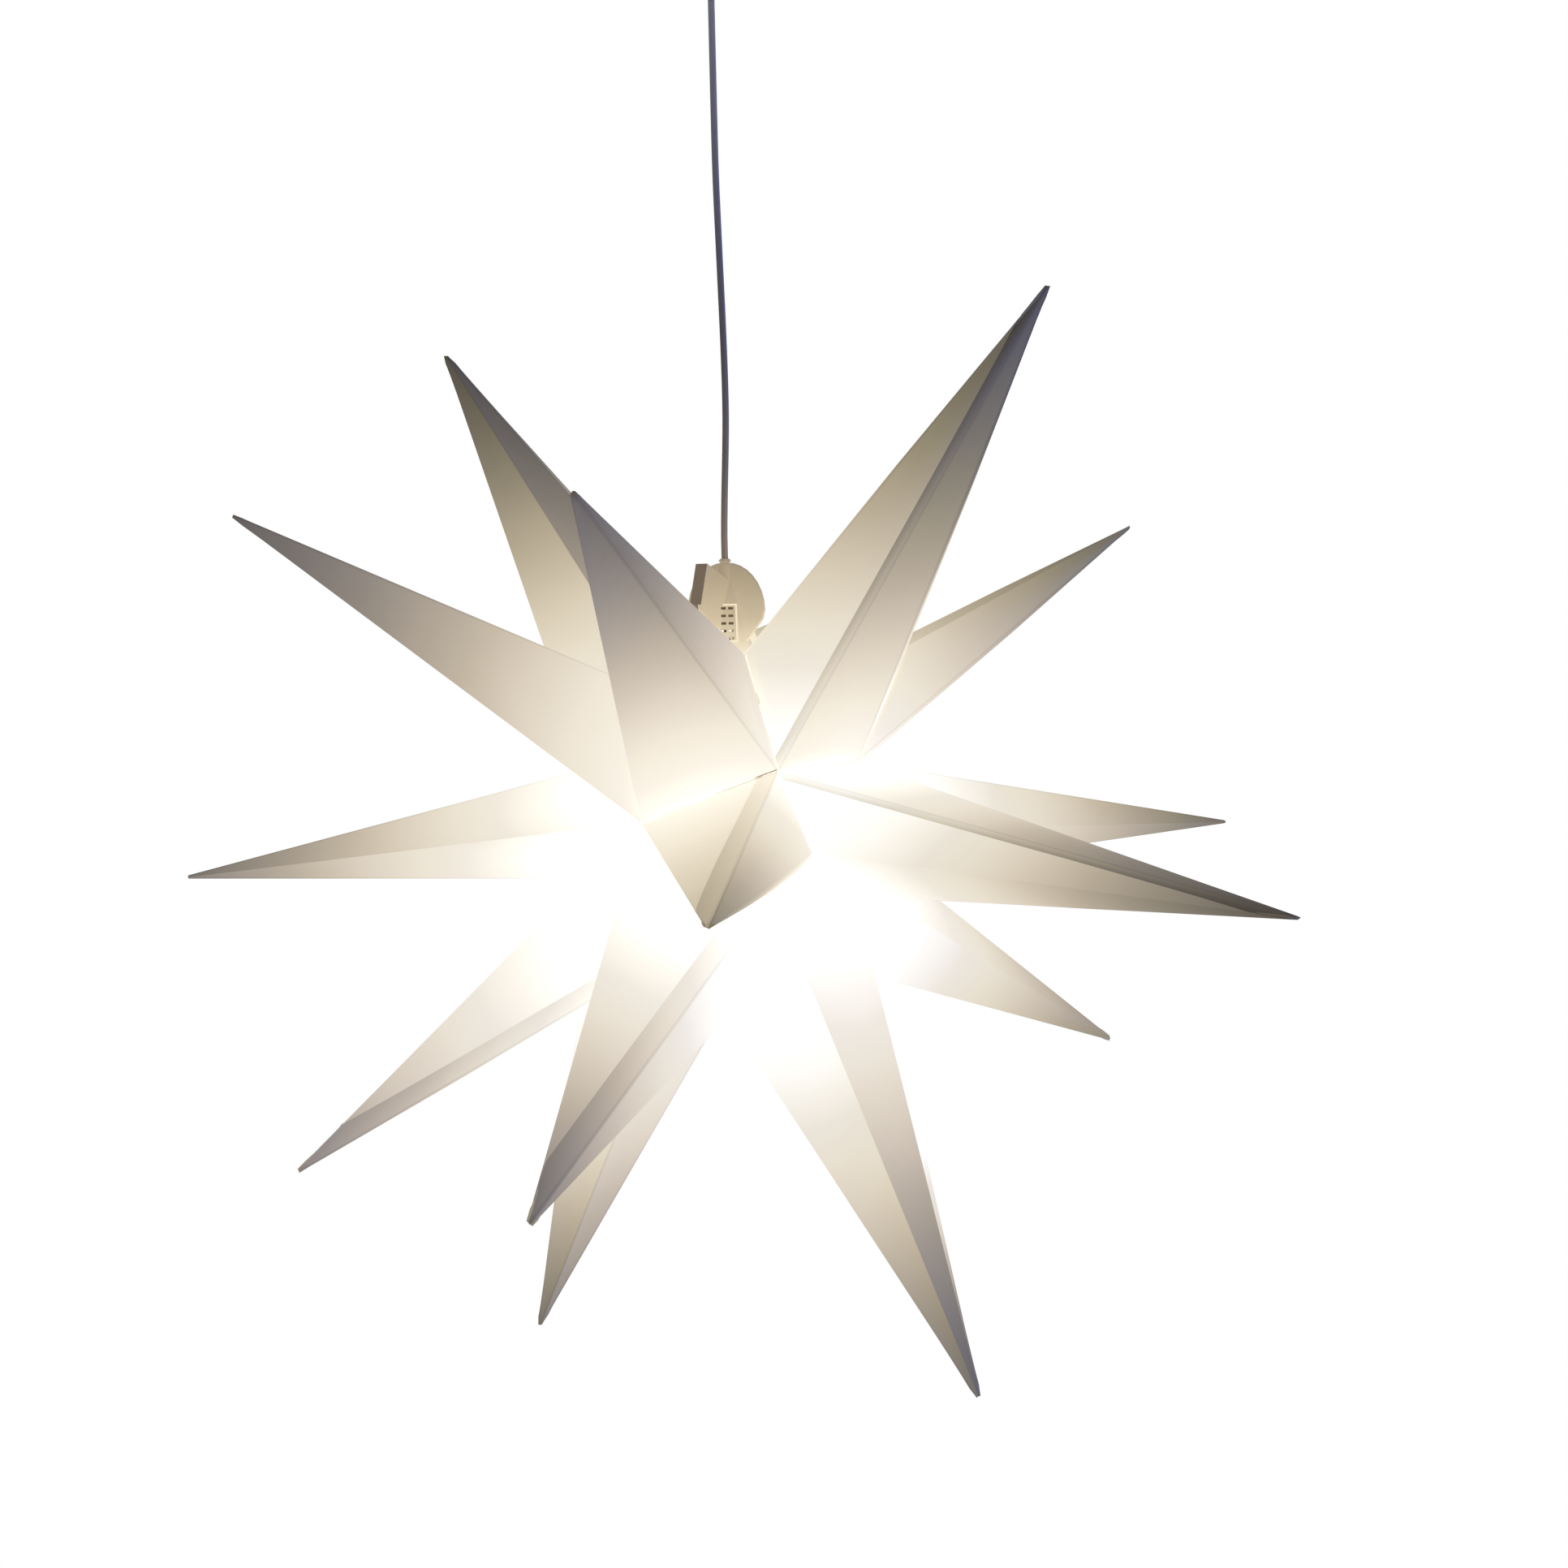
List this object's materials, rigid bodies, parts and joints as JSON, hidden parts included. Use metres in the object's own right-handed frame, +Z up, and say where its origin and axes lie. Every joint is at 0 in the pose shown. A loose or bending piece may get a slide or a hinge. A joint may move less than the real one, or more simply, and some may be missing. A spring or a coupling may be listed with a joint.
{
  "type": "hanging star light",
  "caption": "Lit folding Christmas star: long foil points set like a fan round a level axis, hung by a slotted lamp cap from a thin cord, with a screw bulb, lampholder and ceiling cup.",
  "frame": {"origin": "middle of the ceiling plate's flat top face, which rests on the ceiling", "axes": "+Z up, out of the ceiling plate; -Y towards the star's front pole points, along its level fold axis; +X to the right as seen from the front, in the plane of its rim points"},
  "size_m": [0.5474, 0.4003, 0.6688],
  "materials": {
    "pearl_foil": "pearly translucent plastic foil, scored and welded",
    "cream_plastic": "moulded cream plastic, slightly satin",
    "white_plastic": "moulded white plastic",
    "grey_plastic": "moulded grey nylon",
    "opal_plastic": "opal diffuser",
    "black_insulator": "black moulded insulator",
    "board_laminate": "white solder-resist laminate",
    "brass": "bright brass sheet",
    "nickel_plate": "nickel-plated sheet",
    "zinc_steel": "zinc-plated steel",
    "cord_sheath": "dark matt cable sheath",
    "core_sheath": "brown core insulation"
  },
  "bodies": {
    "star": {"front_point_1": "pearl_foil", "rim_point_1": "pearl_foil", "back_point_1": "pearl_foil", "front_point_2": "pearl_foil", "rim_point_2": "pearl_foil", "back_point_2": "pearl_foil", "front_point_3": "pearl_foil", "rim_point_3": "pearl_foil", "back_point_3": "pearl_foil", "front_point_4": "pearl_foil", "rim_point_4": "pearl_foil", "back_point_4": "pearl_foil", "front_point_5": "pearl_foil", "rim_point_5": "pearl_foil", "back_point_5": "pearl_foil", "front_point_6": "pearl_foil", "rim_point_6": "pearl_foil", "back_point_6": "pearl_foil", "hanger_tab_front_right": "pearl_foil", "hanger_tab_front_left": "pearl_foil", "hanger_tab_back_right": "pearl_foil", "hanger_tab_back_left": "pearl_foil", "lamp_cap": "cream_plastic", "holder_sleeve": "white_plastic", "terminal_block": "white_plastic", "contact_shell": "brass", "contact_tongue": "brass", "terminal_screw_live": "zinc_steel", "terminal_screw_return": "zinc_steel", "cord": "cord_sheath", "cord_tail": "cord_sheath", "core_live": "core_sheath", "core_return": "core_sheath", "cord_relief": "grey_plastic", "cord_wedge": "grey_plastic", "ceiling_plate": "grey_plastic"},
    "bulb": {"bulb_base": "nickel_plate", "bulb_insulator": "black_insulator", "bulb_contact": "nickel_plate", "bulb_heat_sink": "white_plastic", "bulb_globe": "opal_plastic", "led_board": "board_laminate", "driver_card": "board_laminate"},
    "ring": {"holder_ring": "white_plastic"},
    "cup": {"ceiling_cup": "white_plastic", "cord_grip": "grey_plastic", "grip_nut": "grey_plastic", "grip_screw": "zinc_steel"}
  },
  "joints": [
    {"name": "bulb_turn", "type": "hinge", "parent": "star", "child": "bulb", "pos_m": [0, 0, -0.375], "axis": [0, 0, -1], "range_deg": [0, 720]},
    {"name": "ring_turn", "type": "hinge", "parent": "star", "child": "ring", "pos_m": [0, 0, -0.364], "axis": [0, 0, -1], "range_deg": [0, 720]},
    {"name": "cup_slide", "type": "slide", "parent": "star", "child": "cup", "axis": [0, 0, -1], "range_m": [0, 0.05]}
  ]
}
